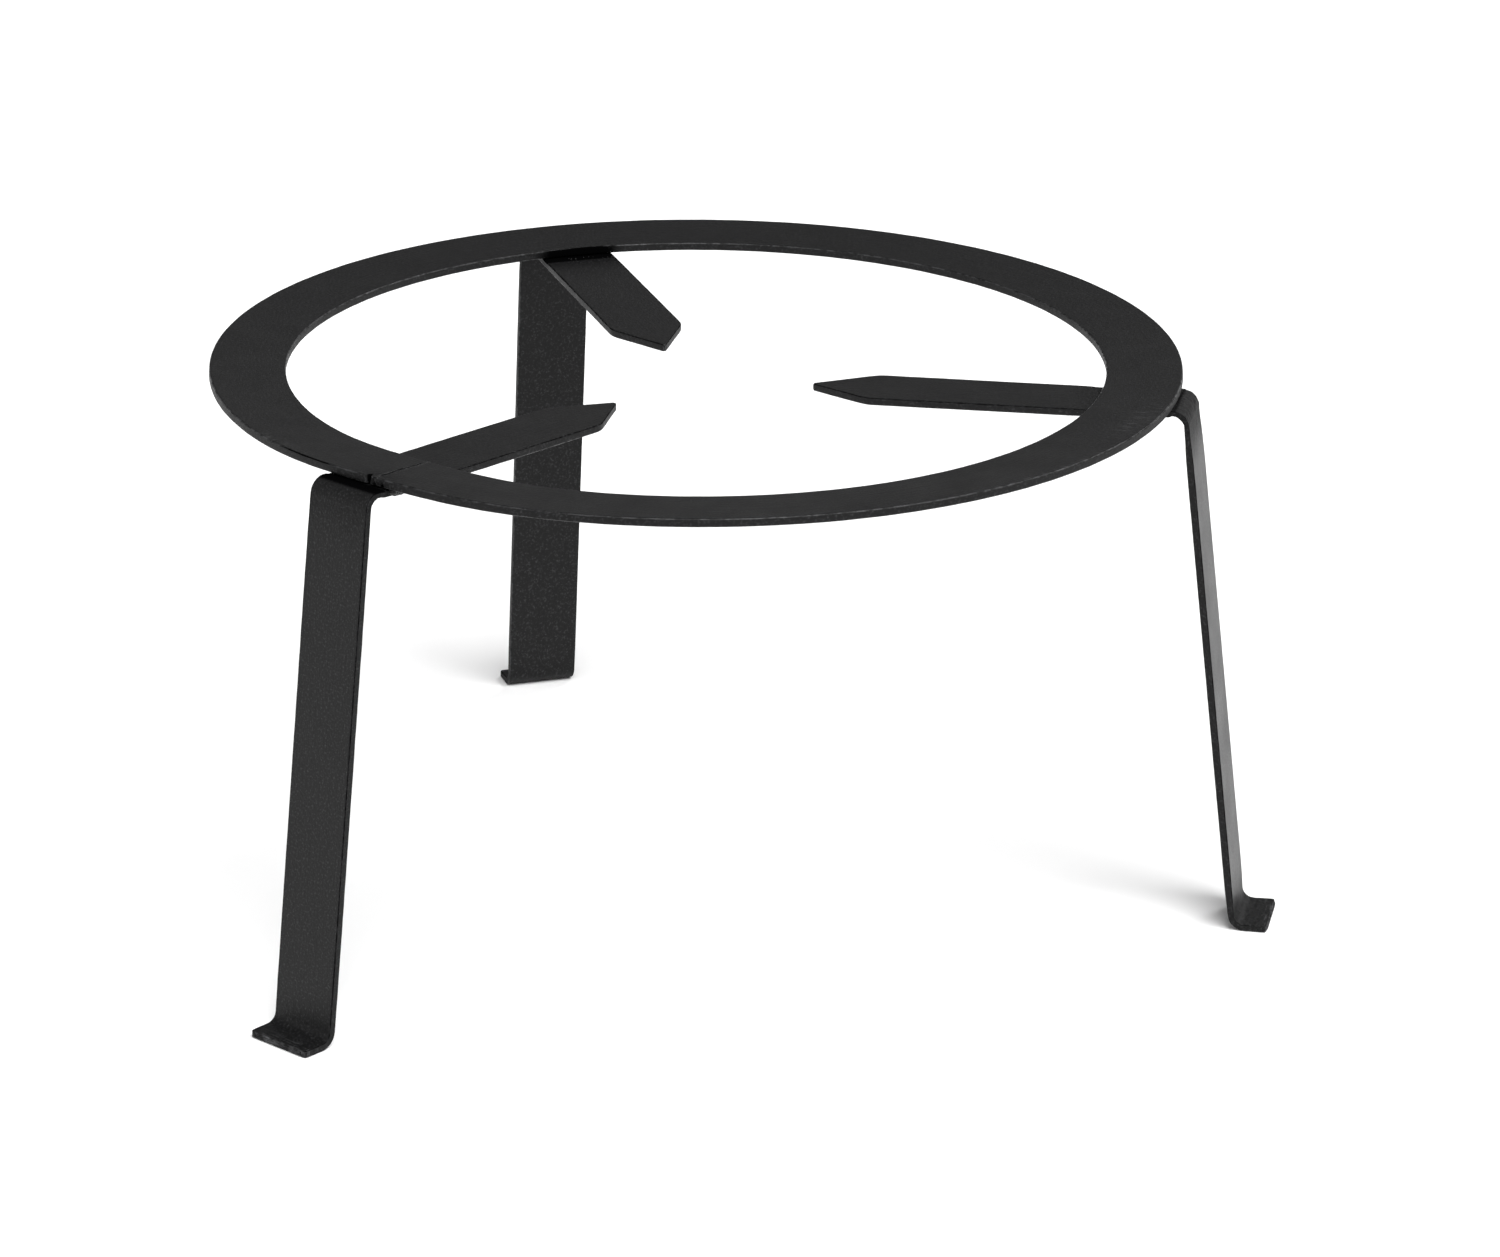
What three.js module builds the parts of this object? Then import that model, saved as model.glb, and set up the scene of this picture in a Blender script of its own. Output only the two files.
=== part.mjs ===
// Three-legged ring stand that holds a pan or pot over a burner.
// A flat bar is rolled edgewise into a ring, and its ends meet over the left leg.
// Each leg is one flat bar: a pointed prong under the ring, a splayed leg and a short foot.
// Weld beads join the legs to the ring and close the ring's seam.
// Millimetres, +Z up. The ring's axis is the centre line of the design, and the feet stand on z = 0.

import * as THREE from 'three';

const degrees = THREE.MathUtils.degToRad;

// Driving dimensions: the stand
const STAND_HEIGHT = 182; // floor to the ring's highest edge
const BAR_WIDTH = 25; // one width of flat bar makes the ring and the legs
const LEG_ANGLES = { left: degrees(210), right: degrees(330), back: degrees(90) };
const WELD_CLEARANCE = 0.25; // between two pieces that a weld joins

// Driving dimensions: the ring
const RING_RADIUS = 159; // to the top outer edge
const RING_THICKNESS = 2.8;
const RING_DISH = degrees(3); // rolling tips the bar, so its inner edge is lower
const RING_STEPS = 120;
const SEAM_PAST_LEG = degrees(2.9); // from the left leg's centre line round to the seam
const SEAM_GAP = 1.6; // between the bar's two ends
const FLAT_DEPTH = 2.4; // the bar's ends stay a little straight beside the seam
const FLAT_SPREAD = degrees(12);

// Driving dimensions: the legs
const LEG_THICKNESS = 2.6;
const LEG_SPLAY = degrees(6.8);
const BEND_REACH = 164.9; // ring axis to the outside of the top bend
const TOP_BEND_INSIDE = 3.9; // radius of the bar's inner face
const FOOT_BEND_INSIDE = 3.2; // radius of the face that turns up, between the leg and the foot
const BEND_STEPS = 8;
const FOOT_FLAT = 7.8; // straight length past the foot's bend
const FOOT_CORNER = 1.2; // the foot's two outer corners are cut back
const PRONG_DROOP = degrees(1); // inside the ring the prongs slope down towards the middle
const PRONG_TIP_RADIUS = { left: 39, right: 39, back: 34.5 }; // ring axis to each point
const POINT_LENGTH = 19.8; // from the shoulders to the point
const POINT_WIDTH = 1.2; // the points are barely blunt

// Driving dimensions: the welds
const BEAD_SIZE = 2.2; // leg of the fillet between a prong's side and the ring's underside
const BEAD_END_SIZE = 1.1;
const BEAD_START = 137; // distances from the ring axis
const BEAD_END = 154;
const BEAD_STEPS = 6;
const SEAM_WELD_DEPTH = 0.6; // how far the seam's weld lies below the ring's top
const CORNER_WELD_REACH = 4.5; // how far the seam's weld runs in along the prong
const CORNER_WELD_START = 1.5; // across the left prong, from its centre line
const CORNER_WELD_END = 11;

// Derived sizes
const SEAM_ANGLE = LEG_ANGLES.left + SEAM_PAST_LEG;
const BAR_RUN = BAR_WIDTH * Math.cos(RING_DISH); // the ring bar's width seen from above
const BAR_FALL = BAR_WIDTH * Math.sin(RING_DISH);
const TOP_BEND_OUTSIDE = TOP_BEND_INSIDE + LEG_THICKNESS;
const FOOT_BEND_OUTSIDE = FOOT_BEND_INSIDE + LEG_THICKNESS;
const RING_INNER_RADIUS = RING_RADIUS - BAR_RUN;
const RING_LOWEST = STAND_HEIGHT - BAR_FALL - RING_THICKNESS * Math.cos(RING_DISH);

// Height of a prong's top face: it follows the ring's underside, then slopes down at its own angle
function prongTop(radius) {
  const run = radius - RING_INNER_RADIUS;
  const slope = run > 0 ? RING_DISH : PRONG_DROOP;
  return RING_LOWEST - WELD_CLEARANCE + run * Math.tan(slope);
}

// How far the ring's edge lies inside a true circle at an angle round the ring
function seamFlat(angle) {
  const fromSeam = Math.atan2(Math.sin(angle - SEAM_ANGLE), Math.cos(angle - SEAM_ANGLE));
  return FLAT_DEPTH * Math.exp(-((fromSeam / FLAT_SPREAD) ** 2));
}

// Skins a list of sections, each a loop of the same number of points, and closes both ends.
// Seen from the last section, each loop runs counter-clockwise.
function solidFromSections(sections) {
  const corners = sections[0].length;
  const positions = sections.flat().flatMap((point) => point.toArray());
  const faces = [];
  for (let s = 0; s < sections.length - 1; s++) {
    for (let c = 0; c < corners; c++) {
      const near = s * corners + c;
      const nearNext = s * corners + ((c + 1) % corners);
      faces.push(near, nearNext, nearNext + corners);
      faces.push(near, nearNext + corners, near + corners);
    }
  }
  const last = (sections.length - 1) * corners;
  for (let c = 1; c < corners - 1; c++) {
    faces.push(0, c + 1, c);
    faces.push(last, last + c, last + c + 1);
  }
  const geometry = new THREE.BufferGeometry();
  geometry.setAttribute('position', new THREE.Float32BufferAttribute(positions, 3));
  geometry.setIndex(faces);
  geometry.computeVertexNormals();
  return geometry;
}

// Point at a radius and height above an angle round the ring axis
function polar(radius, angle, z) {
  return new THREE.Vector3(radius * Math.cos(angle), radius * Math.sin(angle), z);
}

// The ring bar's four edges at one angle, as [radius, z]: top inner, top outer, bottom outer, bottom inner
function ringEdges(angle) {
  const outer = RING_RADIUS - seamFlat(angle);
  const slip = RING_THICKNESS * Math.sin(RING_DISH);
  const drop = RING_THICKNESS * Math.cos(RING_DISH);
  return [
    [outer - BAR_RUN, STAND_HEIGHT - BAR_FALL],
    [outer, STAND_HEIGHT],
    [outer + slip, STAND_HEIGHT - drop],
    [outer - BAR_RUN + slip, STAND_HEIGHT - BAR_FALL - drop],
  ];
}

function makeRing() {
  const halfGap = SEAM_GAP / 2 / (RING_RADIUS - BAR_RUN / 2);
  const start = SEAM_ANGLE + halfGap;
  const sweep = 2 * Math.PI - 2 * halfGap;
  const sections = [];
  for (let step = 0; step <= RING_STEPS; step++) {
    const angle = start + (sweep * step) / RING_STEPS;
    sections.push(ringEdges(angle).map(([radius, z]) => polar(radius, angle, z)));
  }
  return solidFromSections(sections);
}

// One cross-section of a leg bar, from a point on its outer face and one on its inner face
function legSection(outerFace, innerFace, width) {
  const half = width / 2;
  return [
    new THREE.Vector3(outerFace[0], half, outerFace[1]),
    new THREE.Vector3(outerFace[0], -half, outerFace[1]),
    new THREE.Vector3(innerFace[0], -half, innerFace[1]),
    new THREE.Vector3(innerFace[0], half, innerFace[1]),
  ];
}

// Cross-sections round a bend, with the bar's two faces at different radii from its centre
function bendSections(centre, outerFaceRadius, innerFaceRadius, startAngle, endAngle) {
  const sections = [];
  for (let step = 0; step <= BEND_STEPS; step++) {
    const angle = startAngle + ((endAngle - startAngle) * step) / BEND_STEPS;
    const [c, s] = [Math.cos(angle), Math.sin(angle)];
    const outerFace = [centre[0] + outerFaceRadius * c, centre[1] + outerFaceRadius * s];
    const innerFace = [centre[0] + innerFaceRadius * c, centre[1] + innerFaceRadius * s];
    sections.push(legSection(outerFace, innerFace, BAR_WIDTH));
  }
  return sections;
}

function topBendCentre() {
  const radius = BEND_REACH - TOP_BEND_OUTSIDE;
  const bendStart = radius - TOP_BEND_OUTSIDE * Math.sin(RING_DISH);
  return [radius, prongTop(bendStart) - TOP_BEND_OUTSIDE * Math.cos(RING_DISH)];
}

const TOP_BEND_CENTRE = topBendCentre();

// The foot's bend centre lies along the splayed leg, on its outer side
function footBendCentre() {
  const [c, s] = [Math.cos(LEG_SPLAY), Math.sin(LEG_SPLAY)];
  const apart = TOP_BEND_OUTSIDE + FOOT_BEND_INSIDE;
  const startZ = TOP_BEND_CENTRE[1] + apart * s;
  const legLength = (startZ - FOOT_BEND_OUTSIDE) / c;
  return [TOP_BEND_CENTRE[0] + apart * c + legLength * s, FOOT_BEND_OUTSIDE];
}

const FOOT_BEND_CENTRE = footBendCentre();
const FOOT_END = FOOT_BEND_CENTRE[0] + FOOT_FLAT;

// A leg in its own frame: x runs out from the ring axis, y across the bar
function makeLeg(tipRadius) {
  const prongSection = (radius, width) => {
    const top = prongTop(radius);
    return legSection([radius, top], [radius, top - LEG_THICKNESS], width);
  };
  const footSection = (radius, width) => legSection([radius, LEG_THICKNESS], [radius, 0], width);
  const topStart = Math.PI / 2 + RING_DISH;
  const footStart = Math.PI + LEG_SPLAY;
  const footEnd = 1.5 * Math.PI;
  return solidFromSections([
    prongSection(tipRadius, POINT_WIDTH),
    prongSection(tipRadius + POINT_LENGTH, BAR_WIDTH),
    prongSection(RING_INNER_RADIUS, BAR_WIDTH),
    ...bendSections(TOP_BEND_CENTRE, TOP_BEND_OUTSIDE, TOP_BEND_INSIDE, topStart, LEG_SPLAY),
    ...bendSections(FOOT_BEND_CENTRE, FOOT_BEND_INSIDE, FOOT_BEND_OUTSIDE, footStart, footEnd),
    footSection(FOOT_END - FOOT_CORNER, BAR_WIDTH),
    footSection(FOOT_END, BAR_WIDTH - 2 * FOOT_CORNER),
  ]);
}

// A fillet bead in the corner under the ring beside a prong; side is 1 or -1 across the bar
function makeLegBead(side) {
  const sections = [];
  for (let step = 0; step <= BEAD_STEPS; step++) {
    const along = step / BEAD_STEPS;
    const radius = BEAD_START + (BEAD_END - BEAD_START) * along;
    const size = BEAD_END_SIZE + (BEAD_SIZE - BEAD_END_SIZE) * Math.sin(Math.PI * along);
    const y = BAR_WIDTH / 2 + WELD_CLEARANCE;
    const ringUnderside = RING_LOWEST + (radius - RING_INNER_RADIUS) * Math.tan(RING_DISH);
    const z = ringUnderside - WELD_CLEARANCE;
    const bulge = 0.62 * size;
    const loop = [[y, z], [y, z - size], [y + bulge, z - bulge], [y + size, z]];
    const points = loop.map(([across, up]) => new THREE.Vector3(radius, side * across, up));
    sections.push(side > 0 ? points : points.reverse());
  }
  return solidFromSections(sections);
}

// The weld between the ring bar's two ends, set below its top so that a groove shows
function makeSeamWeld() {
  const half = SEAM_GAP / 2 - WELD_CLEARANCE;
  const [topInner, topOuter, bottomOuter, bottomInner] = ringEdges(SEAM_ANGLE);
  const section = (top, bottom) => [
    new THREE.Vector3(top[0], half, top[1] - SEAM_WELD_DEPTH),
    new THREE.Vector3(top[0], -half, top[1] - SEAM_WELD_DEPTH),
    new THREE.Vector3(bottom[0], -half, bottom[1]),
    new THREE.Vector3(bottom[0], half, bottom[1]),
  ];
  return solidFromSections([section(topInner, bottomInner), section(topOuter, bottomOuter)]);
}

// The weld in the corner between the ring's inner edge and the left prong, at the seam
function makeCornerWeld() {
  const middle = (CORNER_WELD_START + CORNER_WELD_END) / 2;
  const ringEdge = RING_INNER_RADIUS - seamFlat(SEAM_ANGLE);
  const outer = Math.sqrt(ringEdge ** 2 - CORNER_WELD_END ** 2) - WELD_CLEARANCE;
  const foot = prongTop(outer) + WELD_CLEARANCE;
  const crest = STAND_HEIGHT - BAR_FALL - SEAM_WELD_DEPTH;
  const section = (across, share) => {
    const toe = outer - CORNER_WELD_REACH * share;
    const top = foot + (crest - foot) * share;
    return [
      new THREE.Vector3(outer, across, foot),
      new THREE.Vector3(toe, across, foot),
      new THREE.Vector3(outer, across, top),
    ];
  };
  const stops = [[CORNER_WELD_START, 0.3], [middle, 1], [CORNER_WELD_END, 0.3]];
  return solidFromSections(stops.map(([across, share]) => section(across, share)));
}

const paintFinish = { color: 0x2b2b2c, roughness: 0.5, metalness: 0.35 };
const weldFinish = { color: 0x242425, roughness: 0.6, metalness: 0.35 };

function namedMesh(name, geometry, finish, turn = 0) {
  const mesh = new THREE.Mesh(geometry, new THREE.MeshStandardMaterial(finish));
  mesh.name = name;
  mesh.rotation.z = turn;
  return mesh;
}

const group = new THREE.Group();
group.add(namedMesh('ring', makeRing(), paintFinish));
group.add(namedMesh('ring_seam_weld', makeSeamWeld(), weldFinish, SEAM_ANGLE));
group.add(namedMesh('seam_corner_weld', makeCornerWeld(), weldFinish, LEG_ANGLES.left));

for (const [place, angle] of Object.entries(LEG_ANGLES)) {
  group.add(namedMesh(`leg_${place}`, makeLeg(PRONG_TIP_RADIUS[place]), paintFinish, angle));
  group.add(namedMesh(`weld_${place}_a`, makeLegBead(1), weldFinish, angle));
  group.add(namedMesh(`weld_${place}_b`, makeLegBead(-1), weldFinish, angle));
}

// Centre the stand's outline on the origin: the back foot reaches further than the ring does in front
const ringReach = RING_RADIUS + RING_THICKNESS * Math.sin(RING_DISH);
group.position.y = (ringReach - FOOT_END) / 2;

export default group;
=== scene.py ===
import math
import bmesh
import bpy
from mathutils import Matrix, Vector, noise


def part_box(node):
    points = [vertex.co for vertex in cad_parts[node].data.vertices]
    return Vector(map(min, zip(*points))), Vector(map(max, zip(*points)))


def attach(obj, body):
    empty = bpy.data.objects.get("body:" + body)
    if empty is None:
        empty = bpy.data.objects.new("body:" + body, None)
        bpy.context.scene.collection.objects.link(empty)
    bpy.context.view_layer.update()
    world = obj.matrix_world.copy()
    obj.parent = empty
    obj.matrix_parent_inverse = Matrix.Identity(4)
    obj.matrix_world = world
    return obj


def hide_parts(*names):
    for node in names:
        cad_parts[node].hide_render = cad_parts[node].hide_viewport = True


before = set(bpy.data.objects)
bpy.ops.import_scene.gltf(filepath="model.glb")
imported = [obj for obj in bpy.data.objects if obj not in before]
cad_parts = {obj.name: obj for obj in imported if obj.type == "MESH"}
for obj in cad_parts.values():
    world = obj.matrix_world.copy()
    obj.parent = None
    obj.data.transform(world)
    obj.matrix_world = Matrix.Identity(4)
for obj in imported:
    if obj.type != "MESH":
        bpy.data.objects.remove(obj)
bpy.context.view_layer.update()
scene = bpy.context.scene
scene.view_settings.view_transform = "Standard"
mm = 0.001  # sizes below are in millimetres, and meshes are written in metres

# Where the stand is: its ring's axis and the height of its ring
ringLow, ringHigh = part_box("ring")
axisPoint = Vector((0, (ringLow.y + ringHigh.y) / 2, 0)) / mm
standTop = ringHigh.z / mm
legAngles = {"left": math.radians(210), "right": math.radians(330), "back": math.radians(90)}


def aroundAxis(radius, angle, z):  # a point in metres, from the ring's axis
    return (axisPoint + Vector((radius * math.cos(angle), radius * math.sin(angle), z))) * mm


def inLegFrame(angle, radius, across, z):  # across is to the side of the leg's centre line
    along = Vector((math.cos(angle), math.sin(angle), 0))
    side = Vector((-math.sin(angle), math.cos(angle), 0))
    return (axisPoint + along * radius + side * across + Vector((0, 0, z))) * mm


class Wire:  # one output socket, with arithmetic that adds Math nodes
    def __init__(self, graph, socket):
        self.graph = graph
        self.socket = socket

    def math(self, operation, *values):
        return self.graph.add("ShaderNodeMath", {"operation": operation}, dict(enumerate([self, *values])))

    def __add__(self, other):
        return self.math("ADD", other)

    def __radd__(self, other):
        return self.math("ADD", other)

    def __mul__(self, other):
        return self.math("MULTIPLY", other)

    def __rmul__(self, other):
        return self.math("MULTIPLY", other)

    def __sub__(self, other):
        return self.math("SUBTRACT", other)

    def __rsub__(self, other):
        return self.graph.add("ShaderNodeMath", {"operation": "SUBTRACT"}, {0: other, 1: self})

    def __truediv__(self, other):
        return self.math("DIVIDE", other)

    def __rtruediv__(self, other):
        return self.graph.add("ShaderNodeMath", {"operation": "DIVIDE"}, {0: other, 1: self})

    def __pow__(self, other):
        return self.math("POWER", other)


class Graph:  # a node tree, and the one way nodes are added to it
    def __init__(self, tree):
        self.tree = tree

    def add(self, kind, settings=None, sockets=None, output=0):
        node = self.tree.nodes.new(kind)
        for name, value in (settings or {}).items():
            setattr(node, name, value)
        for name, value in (sockets or {}).items():
            self.connect(value, node.inputs[name])
        return Wire(self, node.outputs[output]) if node.outputs else node

    def connect(self, value, socket):
        if isinstance(value, Wire):
            self.tree.links.new(value.socket, socket)
        else:
            socket.default_value = value

    def between(self, value, low, high):  # 0 below low, 1 above high, smooth in between
        return self.add("ShaderNodeMapRange", {"interpolation_type": "SMOOTHSTEP"},
                        {"Value": value, "From Min": low, "From Max": high})

    def stretch(self, vector, scale):
        return self.add("ShaderNodeVectorMath", {"operation": "MULTIPLY"}, {0: vector, 1: scale})

    def noise(self, vector, scale, detail=2.0, rough=0.5):
        return self.add("ShaderNodeTexNoise", None,
                        {"Vector": vector, "Scale": scale, "Detail": detail, "Roughness": rough})

    def blend(self, factor, dark, light):
        node = self.tree.nodes.new("ShaderNodeMix")
        node.data_type = "RGBA"
        self.connect(factor, node.inputs[0])
        self.connect(dark, node.inputs[6])
        self.connect(light, node.inputs[7])
        return Wire(self, node.outputs[2])


def newMaterial(name, ior):
    material = bpy.data.materials.new(name)
    material.use_nodes = True
    shader = material.node_tree.nodes["Principled BSDF"]
    shader.inputs["IOR"].default_value = ior
    return material, shader, Graph(material.node_tree)


# Satin black paint on rolled bar. Its patterns lie along the bar, in millimetres.
barPaint = {
    "dark": (0.0012, 0.0012, 0.0013, 1),
    "light": (0.07, 0.07, 0.073, 1),
    "roughness": 0.37,
    "ior": 1.29,
    "grainScale": 1.3, "fleckScale": 1.0, "cloudScale": 0.07, "peelScale": 1.1,
    "lumpScale": 0.55, "wearScale": 0.35, "pitScale": 0.12,
    "streakStretch": (0.02, 1.6, 1.6),
    "scratchStretch": (1.4, 0.12, 0.12),
    "lightens": {"speckle": 0.30, "flecks": 0.30, "streak": 0.05, "wear": 0.42, "pit": 0.10},
    "dulls": {"cloud": 0.16, "grain": 0.3, "streak": 0.12, "rough": 0.28, "side": 0.16, "wear": 0.25},
    "peelHeight": 0.06 * mm,
    "lumpHeight": 0.35 * mm,
    "pitHeight": 0.05 * mm,
}


def makeBarPaint(look):
    material, shader, graph = newMaterial("satinBlackBar", look["ior"])
    place = graph.add("ShaderNodeAttribute", {"attribute_name": "bar"}, output=1)
    edge = graph.add("ShaderNodeAttribute", {"attribute_name": "edge"}, output=2)
    rough = graph.add("ShaderNodeAttribute", {"attribute_name": "rough"}, output=2)
    scuff = graph.add("ShaderNodeAttribute", {"attribute_name": "scuff"}, output=2)
    paintedShade = graph.add("ShaderNodeAttribute", {"attribute_name": "paintedShade"}, output=2)
    grain = graph.noise(place, look["grainScale"], 3.0, 0.6)  # the paint's fine speckle
    speckle = graph.between(grain, 0.5, 0.72)
    flecks = graph.between(graph.noise(place, look["fleckScale"], 3.0, 0.7), 0.66, 0.74)
    cloud = graph.noise(place, look["cloudScale"], 3.0)
    streak = graph.noise(graph.stretch(place, look["streakStretch"]), 1.0, 3.0, 0.6)
    peel = graph.noise(place, look["peelScale"], 3.0, 0.6)
    lump = graph.noise(place, look["lumpScale"], 3.0, 0.55)
    scratch = graph.noise(graph.stretch(place, look["scratchStretch"]), 1.0, 2.0)
    cell = graph.tree.nodes.new("ShaderNodeTexVoronoi")
    graph.connect(place, cell.inputs["Vector"])
    cell.inputs["Scale"].default_value = look["pitScale"]
    cellDistance = Wire(graph, cell.outputs["Distance"])
    cellPick = graph.add("ShaderNodeSeparateColor", None, {0: Wire(graph, cell.outputs["Color"])})
    pit = (1 - graph.between(cellDistance, 0.02, 0.055)) * graph.between(cellPick, 0.62, 0.66)
    patchy = graph.between(graph.noise(place, look["wearScale"], 3.0, 0.65), 0.38, 0.62)
    wear = graph.between(edge, 0.55, 1.0) * patchy
    scuffed = scuff * graph.between(scratch, 0.52, 0.66)
    side = graph.between(edge, 0.1, 0.5)  # the narrow faces are duller
    lightens, dulls = look["lightens"], look["dulls"]
    bright = (speckle * lightens["speckle"] + flecks * lightens["flecks"] + streak * lightens["streak"]
              + wear * lightens["wear"] + scuffed + pit * lightens["pit"])
    graph.connect(graph.blend(bright, look["dark"], look["light"]), shader.inputs["Base Color"])
    dullness = (look["roughness"] + (cloud - 0.5) * dulls["cloud"] + (grain - 0.5) * dulls["grain"]
                + (streak - 0.5) * dulls["streak"] + rough * dulls["rough"] + side * dulls["side"]
                - wear * dulls["wear"])
    graph.connect(dullness, shader.inputs["Roughness"])
    fine = graph.add("ShaderNodeBump", None, {"Strength": 1.0, "Distance": look["peelHeight"],
                                             "Height": peel + grain * 0.5 + streak * 0.8})
    lumps = graph.add("ShaderNodeBump", None, {"Strength": 1.0, "Distance": look["lumpHeight"],
                                              "Height": lump * rough, "Normal": fine})
    pitted = graph.add("ShaderNodeBump", None, {"Strength": 1.0, "Distance": look["pitHeight"],
                                               "Height": flecks * 0.35 - pit, "Normal": lumps})
    graph.connect(pitted, shader.inputs["Normal"])
    # Painted shade: a mask read from the mesh turns the paint flat black in the notch and the pit, in the bands
    # under the ring and along some edges. It stands in for shadow and dark reflections.
    shadeBlack = graph.add("ShaderNodeBsdfDiffuse", None, {"Color": look["dark"]})  # painted shade: flat black where the shade mask is high
    paintedShadow = graph.between(paintedShade + (grain - 0.5) * 0.5, 0.25, 0.65)
    surface = graph.add("ShaderNodeMixShader", None, {0: paintedShadow, 1: Wire(graph, shader.outputs[0]), 2: shadeBlack})
    graph.connect(surface, graph.tree.nodes["Material Output"].inputs["Surface"])
    return material


# The same paint over weld metal, which is rougher
weldPaint = {
    "dark": (0.0012, 0.0012, 0.0013, 1),
    "light": (0.10, 0.10, 0.104, 1),
    "roughness": 0.38,
    "ior": 1.3,
    "scaleHeight": 0.05 * mm,
}


def makeWeldPaint(look):
    material, shader, graph = newMaterial("satinBlackWeld", look["ior"])
    place = graph.add("ShaderNodeTexCoord", output=3)
    grain = graph.noise(place, 3000.0, 2.0)
    crust = graph.noise(place, 900.0, 4.0, 0.65)
    crown = graph.between(crust, 0.56, 0.70)
    graph.connect(graph.blend(grain * 0.06 + crown * 0.22, look["dark"], look["light"]), shader.inputs["Base Color"])
    graph.connect(look["roughness"] + (crust - 0.5) * 0.3, shader.inputs["Roughness"])
    bump = graph.add("ShaderNodeBump", None, {"Strength": 1.0, "Distance": look["scaleHeight"],
                                             "Height": crust + grain * 0.3})
    graph.connect(bump, shader.inputs["Normal"])
    return material


barMaterial = makeBarPaint(barPaint)
weldMaterial = makeWeldPaint(weldPaint)
print("paints made")


# Flat bar: one section, swept. A point of the section is (across, depth, edge).
bar = {
    "width": 25.0,
    "edgeRadius": 0.5,
    "edgeWander": 0.14,  # the rolled edges are a little uneven
    "arcSteps": 4,
    "sideSteps": 3,
    "nearEdge": 0.45,
}


def flatStops(half, steps):  # positions over a flat face, with one close to each edge
    near = half - min(bar["nearEdge"], 0.2 * half)
    inner = [-near + 2 * near * step / steps for step in range(steps + 1)]
    return [-half, *inner, half]


def barSection(halfWidth, thickness, edgeRadius, faceSteps):
    radius = min(edgeRadius, 0.8 * halfWidth, 0.48 * thickness)
    half = halfWidth - radius
    flats = flatStops(half, faceSteps)
    points = []
    ends = (0, len(flats) - 1)
    for turn in range(4):
        if turn % 2 == 0:  # a wide face
            sign = 1 if turn == 0 else -1
            depth = 0 if turn == 0 else thickness
            points += [(sign * stop, depth, 0.5 if i in ends else 0.0) for i, stop in enumerate(flats)]
        else:  # a narrow face
            sign = 1 if turn == 1 else -1
            for step in range(bar["sideSteps"] + 1):
                down = radius + (thickness - 2 * radius) * step / bar["sideSteps"]
                depth = down if turn == 1 else thickness - down
                points.append((sign * halfWidth, depth, 0.5))
        centreAcross = half if turn in (0, 1) else -half
        centreDepth = radius if turn in (0, 3) else thickness - radius
        start = math.pi / 2 * (1 - turn)  # the arc that follows this face
        for step in range(1, bar["arcSteps"]):
            angle = start - math.pi / 2 * step / bar["arcSteps"]
            across = centreAcross + radius * math.cos(angle)
            depth = centreDepth - radius * math.sin(angle)
            points.append((across, depth, 1.0))
    return points


def onTopCorner(edge, depth):  # the rounded corner between a bar's top and its narrow face
    return edge > 0.8 and depth < 0.9


def wander(along, seed, size):  # slow random change along a bar, from -1 to 1
    return max(-1.0, min(1.0, 2 * noise.noise(Vector((along / size, seed, 0.5 * seed)))))


def sweepMesh(name, stations, material):
    corners = len(stations[0]["points"])
    vertices = [point for station in stations for point in station["points"]]
    faces = []
    for s in range(len(stations) - 1):
        for c in range(corners):
            near, nearNext = s * corners + c, s * corners + (c + 1) % corners
            faces.append((near, nearNext, nearNext + corners, near + corners))
    last = (len(stations) - 1) * corners
    faces.append(tuple(range(corners)))
    faces.append(tuple(last + c for c in reversed(range(corners))))
    mesh = bpy.data.meshes.new(name)
    mesh.from_pydata(vertices, [], faces)
    for layer in ("edge", "rough", "scuff", "paintedShade"):
        values = [value for station in stations for value in station[layer]]
        mesh.attributes.new(layer, "FLOAT", "POINT").data.foreach_set("value", values)
    places = [number for station in stations for place in station["places"] for number in place]
    mesh.attributes.new("bar", "FLOAT_VECTOR", "POINT").data.foreach_set("vector", places)
    mesh.polygons.foreach_set("use_smooth", [True] * len(faces))
    mesh.materials.append(material)
    piece = bpy.data.objects.new(name, mesh)
    scene.collection.objects.link(piece)
    turnOutwards(mesh)
    return piece


def turnOutwards(mesh):
    mesh.update()
    volume = 0.0
    for face in mesh.polygons:
        first = mesh.vertices[face.vertices[0]].co
        for b, c in zip(face.vertices[1:-1], face.vertices[2:]):
            volume += first.dot(mesh.vertices[b].co.cross(mesh.vertices[c].co))
    if volume < 0:
        mesh.flip_normals()


# Geometry Nodes: each tree has named inputs and ends in Realize Instances and Set Material
def newTree(name, inputs):
    tree = bpy.data.node_groups.new(name, "GeometryNodeTree")
    tree.interface.new_socket("Geometry", in_out="INPUT", socket_type="NodeSocketGeometry")
    for label, kind in inputs:
        tree.interface.new_socket(label, in_out="INPUT", socket_type=kind)
    tree.interface.new_socket("Geometry", in_out="OUTPUT", socket_type="NodeSocketGeometry")
    graph = Graph(tree)
    start = tree.nodes.new("NodeGroupInput")
    given = {socket.name: Wire(graph, socket) for socket in start.outputs if socket.name}
    return tree, graph, given


def endTree(tree, graph, geometry, material):
    real = graph.add("GeometryNodeRealizeInstances", None, {"Geometry": geometry})
    done = graph.add("GeometryNodeSetMaterial", None, {"Geometry": real, "Material": material})
    end = tree.nodes.new("NodeGroupOutput")
    graph.connect(done, end.inputs["Geometry"])


def grown(piece, tree, values):  # runs a tree on a piece and keeps the result as a plain mesh
    modifier = piece.modifiers.new(tree.name, "NODES")
    modifier.node_group = tree
    keys = {item.name: item.identifier for item in tree.interface.items_tree if item.in_out == "INPUT"}
    for label, value in values.items():
        modifier[keys[label]] = value
    evaluated = piece.evaluated_get(bpy.context.evaluated_depsgraph_get())
    mesh = bpy.data.meshes.new_from_object(evaluated)
    piece.modifiers.remove(modifier)
    old = piece.data
    piece.data = mesh
    mesh.name = piece.name
    bpy.data.meshes.remove(old)
    return piece


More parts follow.
